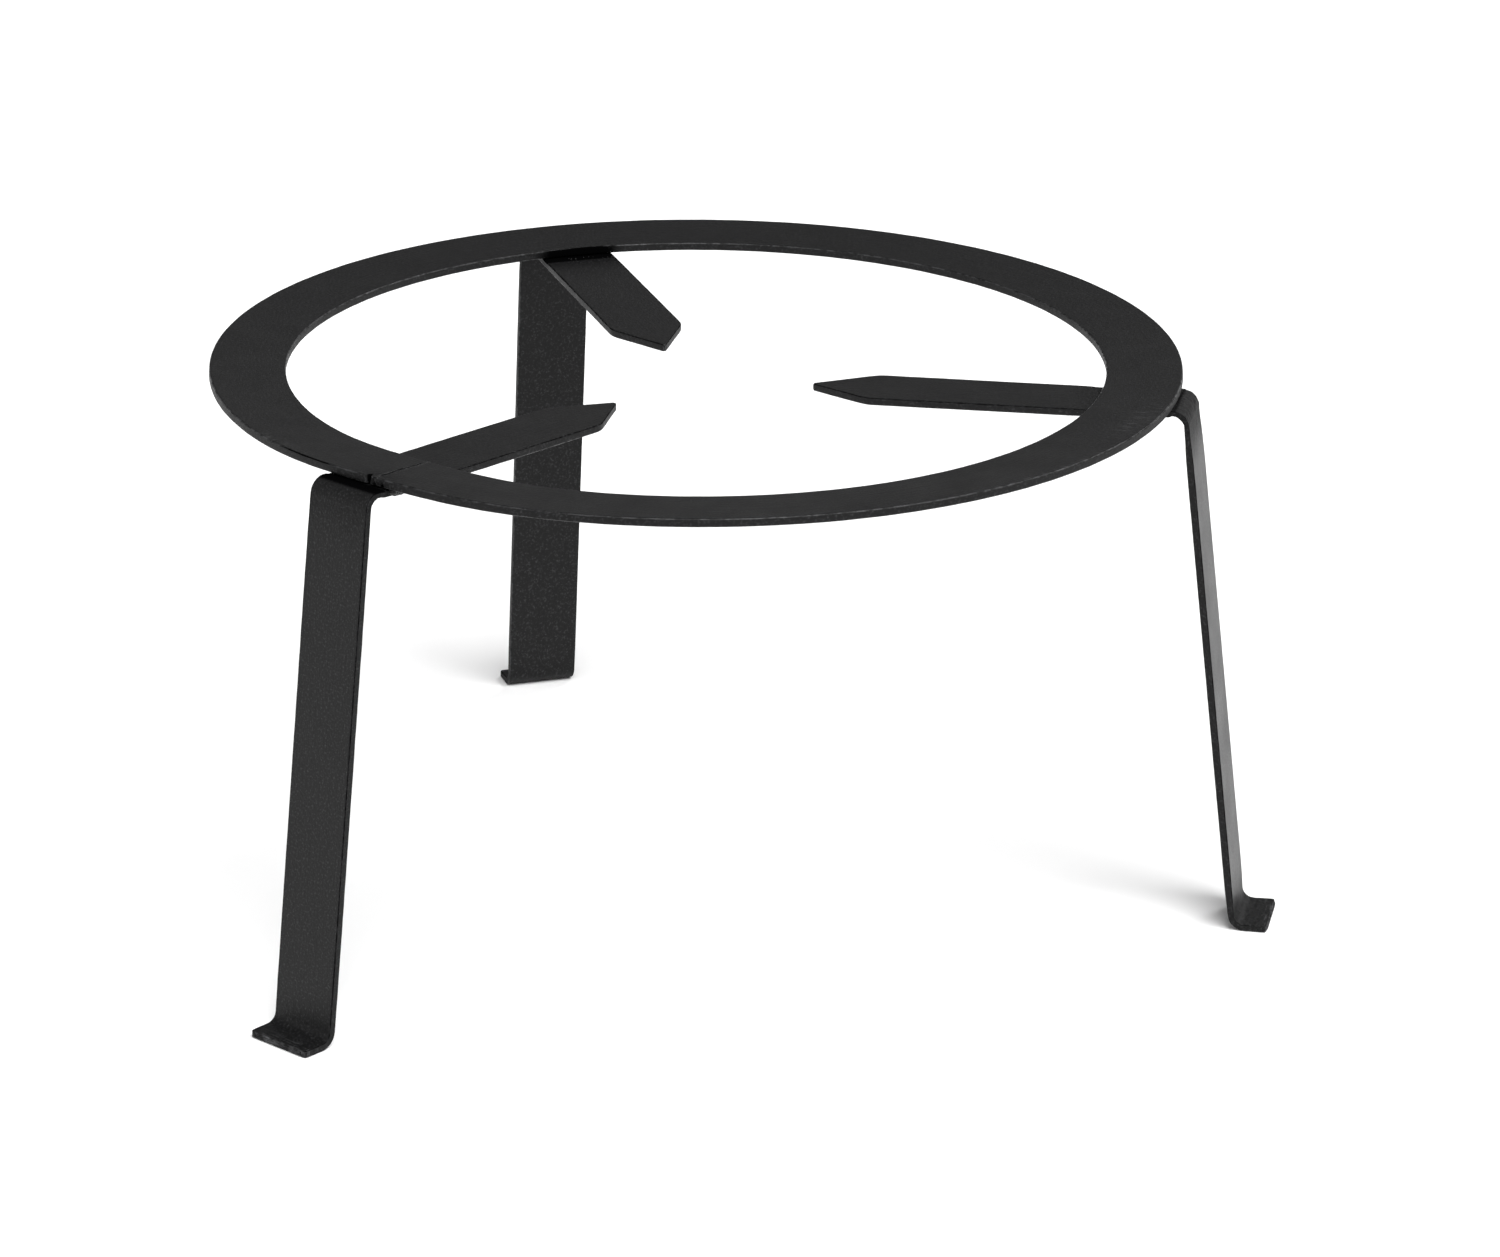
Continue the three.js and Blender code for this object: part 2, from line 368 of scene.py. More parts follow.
def makeRolledTree():  # pushes a bar's skin in by a little, so that its faces aren't dead flat
    tree, graph, given = newTree("rolledSkin", [
        ("Wave Depth", "NodeSocketFloat"), ("Wave Size", "NodeSocketFloat"),
        ("Lump Depth", "NodeSocketFloat"), ("Lump Size", "NodeSocketFloat"),
        ("Seed", "NodeSocketFloat"), ("Material", "NodeSocketMaterial")])
    place = graph.add("GeometryNodeInputNamedAttribute", {"data_type": "FLOAT_VECTOR"}, {"Name": "bar"})
    rough = graph.add("GeometryNodeInputNamedAttribute", {"data_type": "FLOAT"}, {"Name": "rough"})
    wave = graph.add("ShaderNodeTexNoise", {"noise_dimensions": "4D"},
                     {"Vector": place, "W": given["Seed"], "Scale": 1 / given["Wave Size"], "Detail": 2.0})
    lump = graph.add("ShaderNodeTexNoise", {"noise_dimensions": "4D"},
                     {"Vector": place, "W": given["Seed"], "Scale": 1 / given["Lump Size"], "Detail": 3.0})
    depth = wave * given["Wave Depth"] + lump * rough * given["Lump Depth"]
    normal = graph.add("GeometryNodeInputNormal")
    push = graph.add("ShaderNodeVectorMath", {"operation": "SCALE"}, {"Vector": normal, "Scale": 0 - depth})
    moved = graph.add("GeometryNodeSetPosition", None, {"Geometry": given["Geometry"], "Offset": push})
    endTree(tree, graph, moved, given["Material"])
    return tree


def makeBeadTree():  # a weld bead along the piece's own line of edges
    tree, graph, given = newTree("weldBead", [
        ("Bead Radius", "NodeSocketFloat"), ("Ripple Pitch", "NodeSocketFloat"),
        ("Ripple Depth", "NodeSocketFloat"), ("Lump Size", "NodeSocketFloat"),
        ("Lump Height", "NodeSocketFloat"), ("Seed", "NodeSocketFloat"), ("Material", "NodeSocketMaterial")])
    line = graph.add("GeometryNodeMeshToCurve", None, {"Mesh": given["Geometry"]})
    fine = graph.add("GeometryNodeResampleCurve", {"mode": "LENGTH"},
                     {"Curve": line, "Length": given["Ripple Pitch"] / 6})
    spline = graph.tree.nodes.new("GeometryNodeSplineParameter")
    share, length = Wire(graph, spline.outputs["Factor"]), Wire(graph, spline.outputs["Length"])
    ripple = (length / given["Ripple Pitch"] * (2 * math.pi)).math("SINE")
    fromMiddle = (share * 2 - 1).math("ABSOLUTE")
    taper = (1.02 - fromMiddle ** 4) ** 0.5
    size = taper * (1 - given["Ripple Depth"] * (ripple * 0.5 + 0.5))
    profile = graph.add("GeometryNodeCurvePrimitiveCircle", None, {"Resolution": 16, "Radius": given["Bead Radius"]})
    tube = graph.add("GeometryNodeCurveToMesh", None, {"Curve": fine, "Profile Curve": profile,
                                                      "Scale": size, "Fill Caps": True})
    place = graph.add("GeometryNodeInputPosition")
    lump = graph.add("ShaderNodeTexNoise", {"noise_dimensions": "4D"},
                     {"Vector": place, "W": given["Seed"], "Scale": 1 / given["Lump Size"], "Detail": 2.0})
    normal = graph.add("GeometryNodeInputNormal")
    push = graph.add("ShaderNodeVectorMath", {"operation": "SCALE"},
                     {"Vector": normal, "Scale": (lump - 0.5) * given["Lump Height"]})
    moved = graph.add("GeometryNodeSetPosition", None, {"Geometry": tube, "Offset": push})
    smooth = graph.add("GeometryNodeSetShadeSmooth", None, {"Geometry": moved, "Shade Smooth": True})
    endTree(tree, graph, smooth, given["Material"])
    return tree


def makeSpatterTree():  # small drops of weld metal scattered over the piece's own faces
    tree, graph, given = newTree("weldSpatter", [
        ("Density", "NodeSocketFloat"), ("Smallest", "NodeSocketFloat"), ("Largest", "NodeSocketFloat"),
        ("Seed", "NodeSocketInt"), ("Material", "NodeSocketMaterial")])
    drops = graph.add("GeometryNodeDistributePointsOnFaces", None,
                      {"Mesh": given["Geometry"], "Density": given["Density"], "Seed": given["Seed"]})
    size = graph.add("FunctionNodeRandomValue", {"data_type": "FLOAT"}, output=1)
    sizeNode = size.socket.node
    graph.connect(given["Smallest"], sizeNode.inputs[2])
    graph.connect(given["Largest"], sizeNode.inputs[3])
    graph.connect(given["Seed"], sizeNode.inputs["Seed"])
    drop = graph.add("GeometryNodeMeshIcoSphere", None, {"Radius": 1.0, "Subdivisions": 2})
    copies = graph.add("GeometryNodeInstanceOnPoints", None, {"Points": drops, "Instance": drop, "Scale": size})
    smooth = graph.add("GeometryNodeSetShadeSmooth", None, {"Geometry": copies, "Shade Smooth": True})
    endTree(tree, graph, smooth, given["Material"])
    return tree


rolledTree = makeRolledTree()
beadTree = makeBeadTree()
spatterTree = makeSpatterTree()
print("node trees made")

# The ring: the bar rolled edgewise, its ends meeting beside the left leg
ring = {
    "thickness": 2.8,
    "faceSteps": 10,
    "dish": math.radians(3),
    "seamAngle": legAngles["left"] + math.radians(2.9),
    "seamGap": 1.3,
    "flatDepth": 2.4,
    "flatSpread": math.radians(12),
    "stepAngle": math.radians(0.55),
    "seamStepAngle": math.radians(0.11),  # finer beside the seam
    "seamReach": math.radians(9),
    # Beside the seam, in the outer edge. Each side is from the left leg's centre line.
    # The shade widths in the notch and the pit, and the corner and over-prong entries, set painted shade: flat black
    # in the notch, in the pit, along the top edges near the left leg, and on the ring's inner side over the back
    # prong.
    "notch": {"side": 5.0, "width": 1.05, "taper": 0.18, "depth": 1.9, "reach": 2.4,
              "shadeWidth": 1.1, "shadeTaper": 0.2, "shadeReach": 1.4},
    "pit": {"side": 11.0, "down": 2.4, "width": 0.5, "height": 0.6, "depth": 0.9, "shadeWidth": 0.7},
    "roughPatch": {"side": 8, "width": 7, "reach": 6, "strength": 0.8},
    "shadedCorner": {"side": -22, "width": 14, "strength": 0.9},
    "shadeOverProng": 15,
    "leastRough": 0.08,
    "waveDepth": 0.05, "waveSize": 14.0, "lumpDepth": 0.12, "lumpSize": 2.2,
}
slip = ring["thickness"] * math.sin(ring["dish"])
ringRadius = (ringHigh.y - ringLow.y) / 2 / mm - slip
barRun = bar["width"] * math.cos(ring["dish"])
barFall = bar["width"] * math.sin(ring["dish"])
ringInner = ringRadius - barRun
ringLowest = standTop - barFall - ring["thickness"] * math.cos(ring["dish"])


def turnBetween(angle, other):
    return math.atan2(math.sin(angle - other), math.cos(angle - other))


def seamFlat(angle):
    return ring["flatDepth"] * math.exp(-((turnBetween(angle, ring["seamAngle"]) / ring["flatSpread"]) ** 2))


def bell(distance, width):
    return math.exp(-((distance / width) ** 2))


def ringAngles():
    gap = ring["seamGap"] / 2 / (ringRadius - barRun / 2)
    angles = [ring["seamAngle"] + gap]
    end = ring["seamAngle"] + 2 * math.pi - gap
    while angles[-1] < end - 1e-6:
        nearSeam = abs(turnBetween(angles[-1], ring["seamAngle"])) < ring["seamReach"]
        angles.append(min(end, angles[-1] + (ring["seamStepAngle"] if nearSeam else ring["stepAngle"])))
    if angles[-1] - angles[-2] < 1e-4:
        angles.pop(-2)
    return angles


ringScuffs = [  # angle round the ring, where across the bar, and how far each way it fades
    {"angle": math.radians(196), "across": -10.5, "spread": math.radians(3.5), "width": 2.2, "strength": 0.5},
    {"angle": math.radians(318), "across": -8.0, "spread": math.radians(7), "width": 3.5, "strength": 0.55},
    {"angle": math.radians(297), "across": -11.0, "spread": math.radians(9), "width": 1.2, "strength": 0.5},
]


def scuffAt(angle, across):
    return sum(scuff["strength"] * bell(turnBetween(angle, scuff["angle"]), scuff["spread"])
               * bell(across - scuff["across"], scuff["width"]) for scuff in ringScuffs)


def ringStation(angle):
    outer = ringRadius - seamFlat(angle)
    along = angle * ringRadius
    edgeRadius = bar["edgeRadius"] * (1 + bar["edgeWander"] * wander(along, 3.1, 6))
    sideWays = turnBetween(angle, legAngles["left"]) * ringRadius
    notch, pit, patch, corner = ring["notch"], ring["pit"], ring["roughPatch"], ring["shadedCorner"]
    station = {"points": [], "edge": [], "rough": [], "scuff": [], "paintedShade": [], "places": []}
    for across, depth, edge in barSection(bar["width"] / 2, ring["thickness"], edgeRadius, ring["faceSteps"]):
        inwards = bar["width"] / 2 + across  # from the outer edge
        notchWidth = notch["width"] - notch["taper"] * depth
        cut = notch["depth"] * bell(sideWays - notch["side"], notchWidth) * max(0, 1 - inwards / notch["reach"])
        onSide = inwards < 0.4
        pitDown = bell(depth - pit["down"], pit["height"])
        hole = pit["depth"] * bell(sideWays - pit["side"], pit["width"]) * pitDown
        shift = cut + (hole if onSide else 0)
        radius = outer - (inwards + shift) * math.cos(ring["dish"]) + depth * math.sin(ring["dish"])
        z = standTop - (inwards + shift) * math.sin(ring["dish"]) - depth * math.cos(ring["dish"])
        station["points"].append(aroundAxis(radius, angle, z))
        station["edge"].append(edge)
        nearSeam = bell(sideWays - patch["side"], patch["width"]) * bell(inwards, patch["reach"])
        station["rough"].append(ring["leastRough"] + patch["strength"] * nearSeam)
        station["scuff"].append(scuffAt(angle, across) if depth < 0.6 else 0)
        # Painted shade: black in the notch and the pit, on the inner side over the back prong, and along the top
        # edges near the left leg.
        shadeWidth = notch["shadeWidth"] - notch["shadeTaper"] * depth
        inNotch = bell(sideWays - notch["side"], shadeWidth) * bell(inwards, notch["shadeReach"])
        inPit = bell(sideWays - pit["side"], pit["shadeWidth"]) * pitDown if onSide else 0
        fromBack = turnBetween(angle, legAngles["back"]) * ringInner
        overProng = bell(fromBack, ring["shadeOverProng"]) if inwards > bar["width"] - 0.3 else 0
        nearCorner = corner["strength"] * bell(sideWays - corner["side"], corner["width"])
        cornerShade = nearCorner if onTopCorner(edge, depth) else 0
        station["paintedShade"].append(max(inNotch, inPit, overProng, cornerShade))
        station["places"].append((along, across, depth))
    return station


def skinValues(settings, lumpDepth, seed, material):
    return {"Wave Depth": settings["waveDepth"] * mm, "Wave Size": settings["waveSize"],
            "Lump Depth": lumpDepth * mm, "Lump Size": settings["lumpSize"],
            "Seed": seed, "Material": material}


ringPiece = sweepMesh("ringBar", [ringStation(angle) for angle in ringAngles()], barMaterial)
grown(ringPiece, rolledTree, skinValues(ring, ring["lumpDepth"], 1.0, barMaterial))
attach(ringPiece, "root")
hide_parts("ring")
print("ring made")

# The legs: pointed prong, bend, splayed leg, bend and foot
leg = {
    "thickness": 2.6,
    "faceSteps": 26,
    "weldGap": 0.25,  # between the prong and the ring
    "droop": math.radians(1),
    "splay": math.radians(6.8),
    "bendReach": 164.9,
    "bendInside": 3.9,  # of the bend whose outer face the leg's straight runs down from
    "topBendInside": 3.3,
    "rise": {"from": {"left": 156.3, "right": 157.6, "back": 157.6}, "height": 0.3},  # of the bend, beside the ring
    "footBendInside": 3.2,
    "footFlat": 7.75,
    "tipRadius": {"left": 39.0, "right": 39.0, "back": 34.5},
    "pointLength": 19.8,
    "tipHalf": 0.6,
    "shoulderRound": 0.5,
    "footCorner": 1.35,
    "edgeRadius": 0.5,
    "bendSteps": 26,
    "straightSteps": 110,
    "prongStep": 1.0,
    "fineStep": 0.14,  # at the tip and beside the bend
    "tipRound": 0.6,
    "leastRough": 0.08,
    "roughness": 0.9,
    "footScuff": {"strength": 0.5, "reach": 4},
    "edgeShadow": 0.55,  # painted shade: a thin black line down the outer corners
    "waveDepth": 0.06, "waveSize": 17.0, "lumpSize": 2.0,
    "lumpDepth": {"left": 0.25, "right": 0.9, "back": 0.3},
    "paintedShadow": {  # painted shadow: a black band across the top of each bar where it runs under the ring
        "left": {"at": ringRadius - 0.3, "spread": 2.9, "strength": 1.0},
        "right": {"at": ringRadius + 0.3, "spread": 1.2, "strength": 0.5},
        "back": {"at": ringInner - 1.4, "spread": 3.3, "strength": 1.0},
    },
}
topOutside = leg["topBendInside"] + leg["thickness"]
footOutside = leg["footBendInside"] + leg["thickness"]


def prongTop(radius):
    run = radius - ringInner
    return ringLowest - leg["weldGap"] + run * math.tan(ring["dish"] if run > 0 else leg["droop"])


def bendCentres():
    c, s = math.cos(leg["splay"]), math.sin(leg["splay"])
    wide = leg["bendInside"] + leg["thickness"]
    radius = leg["bendReach"] - wide
    z = prongTop(radius - wide * math.sin(ring["dish"])) - wide * math.cos(ring["dish"])
    apart = wide + leg["footBendInside"]
    length = (z + apart * s - footOutside) / c
    foot = (radius + apart * c + length * s, footOutside)
    tighter = wide - topOutside
    up = (tighter * (1 - s) + leg["rise"]["height"]) / c
    return (radius + tighter * c - up * s, z + tighter * s + up * c), foot


topCentre, footCentre = bendCentres()
footEnd = footCentre[0] + leg["footFlat"]


def eased(share):
    share = max(0.0, min(1.0, share))
    return share * share * (3 - 2 * share)


def legPath(place):  # stops of (radius, z) on the outer face, the direction through the bar, and how rough
    stops = []
    tipRadius = radius = leg["tipRadius"][place]
    bendStart = topCentre[0] + topOutside * math.cos(math.pi / 2 + ring["dish"])
    bendHeight = topCentre[1] + topOutside * math.sin(math.pi / 2 + ring["dish"])
    riseFrom = leg["rise"]["from"][place]
    while radius < bendStart - 0.12:
        flat = prongTop(radius)
        z = flat + (bendHeight - flat) * eased((radius - riseFrom) / (bendStart - riseFrom))
        stops.append((radius, z, (0.0, -1.0), max(bell(radius - ringInner, 5) * 0.5, bell(radius - bendStart, 6))))
        fine = radius < tipRadius + 1.2 or radius > riseFrom - 0.5
        radius += leg["fineStep"] if fine else leg["prongStep"]
    start, end = math.pi / 2 + ring["dish"], leg["splay"]
    for step in range(leg["bendSteps"] + 1):
        angle = start + (end - start) * step / leg["bendSteps"]
        c, s = math.cos(angle), math.sin(angle)
        stops.append((topCentre[0] + topOutside * c, topCentre[1] + topOutside * s, (-c, -s), 1.0))
    start, end = math.pi + leg["splay"], 1.5 * math.pi
    footInside = leg["footBendInside"]
    low = (footCentre[0] + footInside * math.cos(start), footCentre[1] + footInside * math.sin(start))
    high = stops[-1]
    for step in range(1, leg["straightSteps"]):
        share = step / leg["straightSteps"]
        x, z = high[0] + (low[0] - high[0]) * share, high[1] + (low[1] - high[1]) * share
        down = share * (high[1] - low[1])
        roughness = max(bell(down, 9), 0.5 * bell((1 - share) * (high[1] - low[1]), 6))
        stops.append((x, z, (-math.cos(leg["splay"]), -math.sin(leg["splay"])), roughness))
    for step in range(leg["bendSteps"] + 1):
        angle = start + (end - start) * step / leg["bendSteps"]
        c, s = math.cos(angle), math.sin(angle)
        stops.append((footCentre[0] + footInside * c, footCentre[1] + footInside * s, (c, s), 0.6))
    x = footCentre[0]
    while x < footEnd - 1e-6:
        x = min(footEnd, x + (0.12 if x > footEnd - leg["footCorner"] - 0.3 else 0.5))
        stops.append((x, leg["thickness"], (0.0, -1.0), 0.7))
    return stops


def roundedBy(distance, radius):  # how far a rounded end has drawn in at a distance from it
    return radius - math.sqrt(max(0.0, radius ** 2 - max(0.0, radius - distance) ** 2))


def legStations(place, seed):
    tip = leg["tipRadius"][place]
    stops = legPath(place)
    stations = []
    along = 0.0
    for i, (radius, z, through, rough) in enumerate(stops):
        if i:
            along += math.hypot(radius - stops[i - 1][0], z - stops[i - 1][1])
        edgeRadius = leg["edgeRadius"] * (1 + bar["edgeWander"] * wander(along, seed, 5))
        fromTip, fromFoot = radius - tip, footEnd - radius
        slope = (bar["width"] / 2 - leg["tipHalf"]) / leg["pointLength"]
        pointed = leg["tipHalf"] + slope * fromTip
        gapToFull = bar["width"] / 2 - pointed
        shoulder = leg["shoulderRound"]
        half = bar["width"] / 2 - shoulder * math.log1p(math.exp(min(40, gapToFull / shoulder)))
        half = max(half, 0.25) - roundedBy(fromFoot, leg["footCorner"])
        drawIn = min(roundedBy(fromTip, leg["tipRound"]) + roundedBy(fromFoot, edgeRadius), 0.42 * leg["thickness"])
        half = max(half - drawIn, 0.12)
        outer = Vector((radius, z)) + Vector(through) * drawIn
        thickness = leg["thickness"] - 2 * drawIn
        station = {"points": [], "edge": [], "rough": [], "scuff": [], "paintedShade": [], "places": []}
        for across, depth, edge in barSection(half, thickness, max(edgeRadius - drawIn, 0.1), leg["faceSteps"]):
            spot = outer + Vector(through) * depth
            station["points"].append(inLegFrame(legAngles[place], spot[0], across, spot[1]))
            endEdge = max(bell(fromFoot, 0.4), bell(fromTip, 0.4))
            station["edge"].append(max(edge, endEdge))
            station["rough"].append(leg["leastRough"] + leg["roughness"] * rough)
            station["scuff"].append(leg["footScuff"]["strength"] * bell(fromFoot, leg["footScuff"]["reach"]))
            # Painted shadow: a black band across the bar under the ring, and painted shade as a thin black line down
            # the outer corners.
            paintedShadow = leg["paintedShadow"][place]
            below = max(0, prongTop(radius) - z)
            shadowBand = bell(radius - paintedShadow["at"], paintedShadow["spread"]) * bell(below, 2.5) * paintedShadow["strength"]
            edgeShadow = leg["edgeShadow"] if onTopCorner(edge, depth) else 0
            station["paintedShade"].append(max(shadowBand, edgeShadow) if depth < 1 else 0)
            station["places"].append((along + 400 * seed, across, depth + drawIn))
        stations.append(station)
    return stations


for number, place in enumerate(legAngles):
    piece = sweepMesh(f"legBar_{place}", legStations(place, 1.7 + number), barMaterial)
    grown(piece, rolledTree, skinValues(leg, leg["lumpDepth"][place], 2.0 + number, barMaterial))
    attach(piece, "root")
    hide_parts(f"leg_{place}")
print("legs made")


# Welds
def linePiece(name, points):
    mesh = bpy.data.meshes.new(name)
    mesh.from_pydata(points, [(i, i + 1) for i in range(len(points) - 1)], [])
    piece = bpy.data.objects.new(name, mesh)
    scene.collection.objects.link(piece)
    return piece


bead = {
    "radius": 1.5,
    "bigRadius": 1.9,  # of the one beside the seam
    "pitch": 1.5,
    "ripple": 0.16,
    "lumpSize": 1.6,
    "lumpHeight": 0.9,
    "plainLine": [(137.0, 0.1, 0.5), (145.5, 0.2, 0.5), (154.0, 0.1, 0.5)],
    "bigLine": [(138.0, 0.2, 0.6), (147.0, 0.5, 0.6), (153.5, 1.2, 0.7), (156.0, 2.6, 0.4)],
}


def beadPiece(name, points, radius, seed):
    piece = linePiece(name, points)
    return grown(piece, beadTree, {
        "Bead Radius": radius * mm, "Ripple Pitch": bead["pitch"] * mm, "Ripple Depth": bead["ripple"],
        "Lump Size": bead["lumpSize"] * mm, "Lump Height": bead["lumpHeight"] * mm,
        "Seed": seed, "Material": weldMaterial})


def joined(name, pieces):
    vertices, faces = [], []
    for piece in pieces:
        start = len(vertices)
        vertices += [vertex.co.copy() for vertex in piece.data.vertices]
        faces += [tuple(start + v for v in face.vertices) for face in piece.data.polygons]
        bpy.data.objects.remove(piece)
    mesh = bpy.data.meshes.new(name)
    mesh.from_pydata(vertices, [], faces)
    mesh.polygons.foreach_set("use_smooth", [True] * len(faces))
    mesh.materials.append(weldMaterial)
    body = bmesh.new()
    body.from_mesh(mesh)
    bmesh.ops.recalc_face_normals(body, faces=body.faces)
    body.to_mesh(mesh)
    body.free()
    piece = bpy.data.objects.new(name, mesh)
    scene.collection.objects.link(piece)
    return piece


def finishWeld(piece, node):
    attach(piece, "root")
    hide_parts(node)


def ringUnder(radius):
    return ringLowest + (radius - ringInner) * math.tan(ring["dish"])


def beadLine(place, side, stops):  # stops of (radius, out from the prong's side, down from the ring)
    half = bar["width"] / 2
    return [inLegFrame(legAngles[place], radius, side * (half + out), ringUnder(radius) - down)
            for radius, out, down in stops]


for number, place in enumerate(legAngles):
    for letter, side in (("a", 1), ("b", -1)):
        seed = 10.0 + 3 * number + side
        big = (place, letter) == ("left", "a")
        line = beadLine(place, side, bead["bigLine"] if big else bead["plainLine"])
        fillet = beadPiece("bead", line, bead["bigRadius"] if big else bead["radius"], seed)
        finishWeld(joined(f"underWeld_{place}_{letter}", [fillet]), f"weld_{place}_{letter}")
print("fillet welds made")


# The seam's weld: ground nearly flush, with a wavering groove along its middle and a nub at its outer end
seam = {
    "half": 0.85,
    "below": 0.03,
    "endGap": 0.12,
    "grooveHalf": 0.3,
    "grooveDepth": 1.3,
    "grooveFrom": 2.0,  # how far in from the outer edge it starts and ends
    "grooveTo": 21.5,
    "steps": 90,
    "acrossSteps": 28,
}


def seamMesh():
    side = Vector((-math.sin(ring["seamAngle"]), math.cos(ring["seamAngle"]), 0))
    outer = ringRadius - seamFlat(ring["seamAngle"])
    rows = []
    for step in range(seam["steps"] + 1):
        inwards = seam["endGap"] + (bar["width"] - 2 * seam["endGap"]) * step / seam["steps"]
        centre = 0.22 * wander(inwards, 8.3, 3.0) + 0.1 * wander(inwards, 2.3, 0.8)
        halfWidth = seam["grooveHalf"] * (1 + 0.35 * wander(inwards, 5.3, 1.5))
        fadeIn = min(1.0, max(0.0, (inwards - seam["grooveFrom"]) / 1.5))
        fade = fadeIn * min(1.0, max(0.0, (seam["grooveTo"] - inwards) / 2.5))
        top = []
        for c in range(seam["acrossSteps"] + 1):
            off = seam["half"] * (2 * c / seam["acrossSteps"] - 1)
            dip = seam["below"] + seam["grooveDepth"] * fade * math.exp(-(((off - centre) / halfWidth) ** 4))
            top.append((off, dip))
        under = ring["thickness"] - seam["below"]
        row = top + [(seam["half"], under), (-seam["half"], under)]
        rows.append([(inwards, off, depth) for off, depth in row])
    vertices = []
    for row in rows:
        for inwards, off, depth in row:
            radius = outer - inwards * math.cos(ring["dish"]) + depth * math.sin(ring["dish"])
            z = standTop - inwards * math.sin(ring["dish"]) - depth * math.cos(ring["dish"])
            vertices.append(aroundAxis(radius, ring["seamAngle"], z) + side * off * mm)
    corners = len(rows[0])
    faces = []
    for r in range(len(rows) - 1):
        for c in range(corners):
            near, nearNext = r * corners + c, r * corners + (c + 1) % corners
            faces.append((near, nearNext, nearNext + corners, near + corners))
    faces += [tuple(reversed(range(corners))), tuple((len(rows) - 1) * corners + c for c in range(corners))]
    mesh = bpy.data.meshes.new("seamStrip")
    mesh.from_pydata(vertices, [], faces)
    piece = bpy.data.objects.new("seamStrip", mesh)
    scene.collection.objects.link(piece)
    return piece


nub = {"radius": 1.35, "inwards": 1.5, "stops": [(6.5, 1.5), (8.0, 1.6)]}  # stops of (across, down)


def nubLine():
    radius = ringRadius - ring["flatDepth"] - nub["inwards"]
    return [inLegFrame(legAngles["left"], radius, across, standTop - down) for across, down in nub["stops"]]


nubPiece = beadPiece("nub", nubLine(), nub["radius"], 21.0)
finishWeld(joined("seamWeld", [seamMesh(), nubPiece]), "ring_seam_weld")

# The weld in the corner between the ring's inner edge and the left prong
cornerWeld = {
    "start": -0.5,
    "end": 12.0,
    "run": 5.2,
    "under": 1.0,  # how far it goes in under the ring's edge
    "flatIn": 2.35,  # the ring's inner edge is this much further in beside the seam
    "crest": 0.12,
    "sink": 0.4,
    "steps": 40,
}


def cornerMesh():
    inner = ringInner - cornerWeld["flatIn"]
    steps = cornerWeld["steps"]
    tops, bottoms = [], []
    for i in range(steps + 1):
        across = cornerWeld["start"] + (cornerWeld["end"] - cornerWeld["start"]) * i / steps
        share = math.sin(math.pi * i / steps) ** 0.6
        edge = math.sqrt(inner ** 2 - across ** 2) + cornerWeld["under"]
        reach = cornerWeld["run"] * share * (1 + 0.15 * wander(across, 4.4, 3)) + cornerWeld["under"]
        full = standTop - barFall - cornerWeld["crest"]
        for j in range(steps + 1):
            t = j / steps
            radius = edge - reach * t
            floorZ = prongTop(radius)
            height = (full - floorZ) * share * (1 - t) ** 1.25 * (1 + 0.08 * wander(across + 9 * t, 6.6, 1.5))
            tops.append(inLegFrame(legAngles["left"], radius, across, min(full, floorZ + height)))
            bottoms.append(inLegFrame(legAngles["left"], radius, across, floorZ - cornerWeld["sink"]))
    wide = steps + 1
    faces = []
    shift = len(tops)
    for i in range(steps):
        for j in range(steps):
            a = i * wide + j
            faces.append((a, a + 1, a + 1 + wide, a + wide))
            faces.append((shift + a, shift + a + wide, shift + a + 1 + wide, shift + a + 1))
    rim = list(range(wide)) + [i * wide + steps for i in range(1, wide)]
    rim += [steps * wide + j for j in range(steps - 1, -1, -1)] + [i * wide for i in range(steps - 1, 0, -1)]
    for here, after in zip(rim, rim[1:] + rim[:1]):
        faces.append((here, shift + here, shift + after, after))
    mesh = bpy.data.meshes.new("cornerFill")
    mesh.from_pydata(tops + bottoms, [], faces)
    piece = bpy.data.objects.new("cornerFill", mesh)
    scene.collection.objects.link(piece)
    return piece


def patchPiece(name, corners):  # one face for drops of weld metal to fall on
    mesh = bpy.data.meshes.new(name)
    mesh.from_pydata(corners, [], [(0, 1, 2, 3)])
    piece = bpy.data.objects.new(name, mesh)
    scene.collection.objects.link(piece)
    return piece


drops = {"radius": (124, 133), "across": (-12, 4), "density": 120000, "smallest": 0.10, "largest": 0.30, "seed": 4}


def dropsOnProng(place):
    (near, far), (low, high) = drops["radius"], drops["across"]
    corners = [inLegFrame(legAngles[place], radius, across, prongTop(radius) - 0.02)
               for radius, across in ((near, low), (far, low), (far, high), (near, high))]
    return grown(patchPiece("drops", corners), spatterTree, {
        "Density": drops["density"], "Smallest": drops["smallest"] * mm, "Largest": drops["largest"] * mm,
        "Seed": drops["seed"], "Material": weldMaterial})


finishWeld(joined("cornerWeld", [cornerMesh()]), "seam_corner_weld")
spatter = joined("spatter_back", [dropsOnProng("back")])
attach(spatter, "root")
print("welds made")

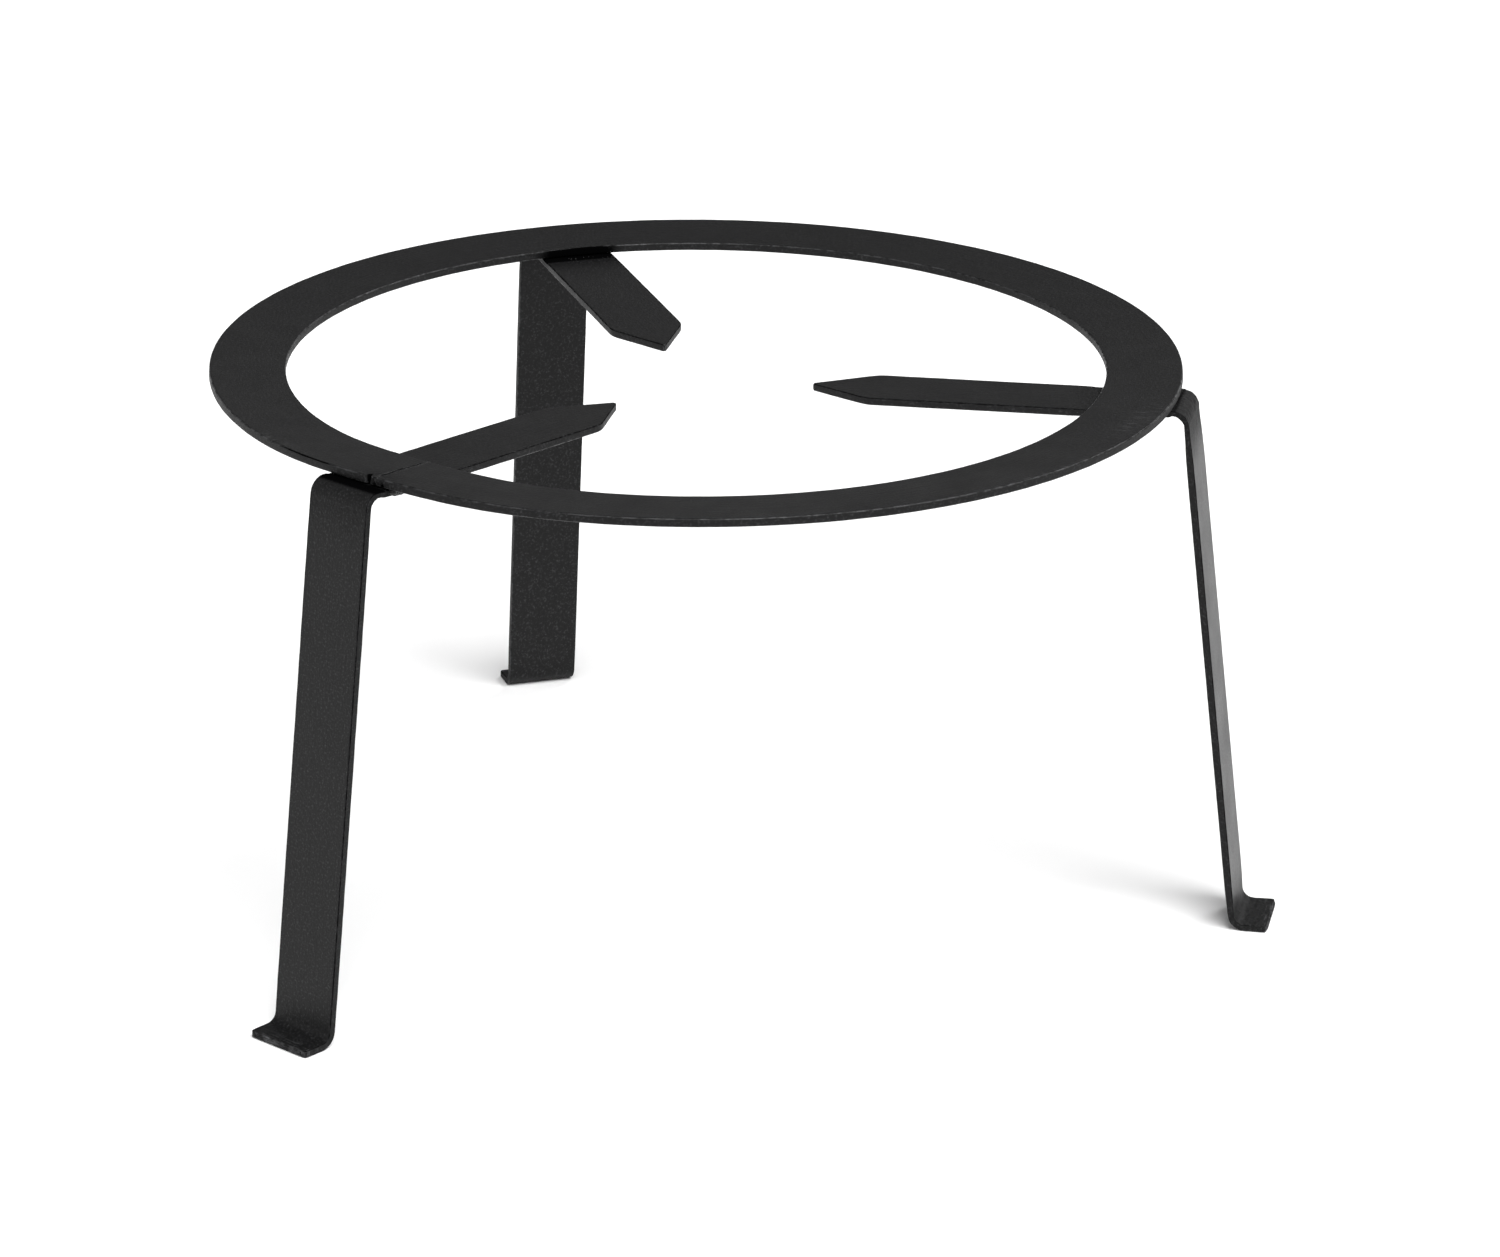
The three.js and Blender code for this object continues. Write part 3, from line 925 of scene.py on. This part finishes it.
# Floor, light and camera. The view is from the front, a little to the left.
studio = {
    "turn": math.radians(-18.47),  # of the camera round the ring's axis
    "floorSize": 12.0,
    "floorColor": (0.90, 0.90, 0.90, 1),
    "floorCloud": (0.86, 0.86, 0.86, 1),
    "horizon": (0.31, 0.31, 0.31, 1),
    "zenith": (0.03, 0.03, 0.03, 1),
    "fadeBand": (0.22, 0.52),  # how high the horizon's tone turns into the zenith's
    "lights": [  # in degrees: round from the camera, up from the floor, how wide it looks from the stand
        {"name": "keyLight", "round": 25, "up": 56, "spread": 50, "strength": 4.0},
        {"name": "leftLight", "round": -60, "up": 30, "spread": 50, "strength": 0.75},
        {"name": "rightLight", "round": 60, "up": 30, "spread": 50, "strength": 0.75},
        {"name": "rimLight", "round": 140, "up": 42, "spread": 16, "strength": 0.9},
    ],
    "lens": 140.32,
    "cameraPlace": (0.0181, -1.8243, 0.7698),
    "cameraTarget": (0.0181, 0.0, 0.0873),
    "roll": math.radians(0.3615),
}
turnAxis = Matrix.Translation(axisPoint * mm) @ Matrix.Rotation(studio["turn"], 4, "Z")


def aimed(place, target, roll):
    back = (Vector(place) - Vector(target)).normalized()
    right = Vector((0, 0, 1)).cross(back).normalized()
    up = back.cross(right)
    tipped = right * math.cos(roll) + up * math.sin(roll)
    matrix = Matrix((tipped, back.cross(tipped), back)).transposed().to_4x4()
    matrix.translation = Vector(place)
    return turnAxis @ matrix


def makeFloor():
    half = studio["floorSize"] / 2
    mesh = bpy.data.meshes.new("floor")
    mesh.from_pydata([(-half, -half, 0), (half, -half, 0), (half, half, 0), (-half, half, 0)], [], [(0, 1, 2, 3)])
    material, shader, graph = newMaterial("paleFloor", 1.4)
    place = graph.add("ShaderNodeTexCoord", output=3)
    tone = graph.noise(place, 1.5, 2.0) * 0.01
    graph.connect(graph.blend(tone, studio["floorColor"], studio["floorCloud"]), shader.inputs["Base Color"])
    shader.inputs["Roughness"].default_value = 0.9
    shader.inputs["Specular IOR Level"].default_value = 0.1
    mesh.materials.append(material)
    floor = bpy.data.objects.new("floor", mesh)
    scene.collection.objects.link(floor)


def makeLights():
    for settings in studio["lights"]:
        lamp = bpy.data.lights.new(settings["name"], "SUN")
        lamp.angle = math.radians(settings["spread"])
        lamp.energy = settings["strength"]
        light = bpy.data.objects.new(settings["name"], lamp)
        around, height = math.radians(settings["round"]), math.radians(settings["up"])
        flat = math.cos(height)
        place = (flat * math.sin(around), -flat * math.cos(around), math.sin(height))
        light.matrix_world = aimed(place, (0, 0, 0), 0)
        scene.collection.objects.link(light)
    world = bpy.data.worlds.new("softRoom")
    world.use_nodes = True
    graph = Graph(world.node_tree)
    direction = graph.add("ShaderNodeTexCoord", output=0)
    up = graph.add("ShaderNodeSeparateXYZ", None, {0: direction}, output=2)
    shade = graph.blend(graph.between(up, *studio["fadeBand"]), studio["horizon"], studio["zenith"])
    graph.connect(shade, world.node_tree.nodes["Background"].inputs["Color"])
    scene.world = world


def makeCamera():
    data = bpy.data.cameras.new("camera")
    data.lens = studio["lens"]
    data.sensor_width = 36.0
    data.sensor_fit = "HORIZONTAL"
    data.clip_end = 50.0
    camera = bpy.data.objects.new("camera", data)
    camera.matrix_world = aimed(studio["cameraPlace"], studio["cameraTarget"], studio["roll"])
    scene.collection.objects.link(camera)
    scene.camera = camera


makeFloor()
makeLights()
makeCamera()
print("studio made")
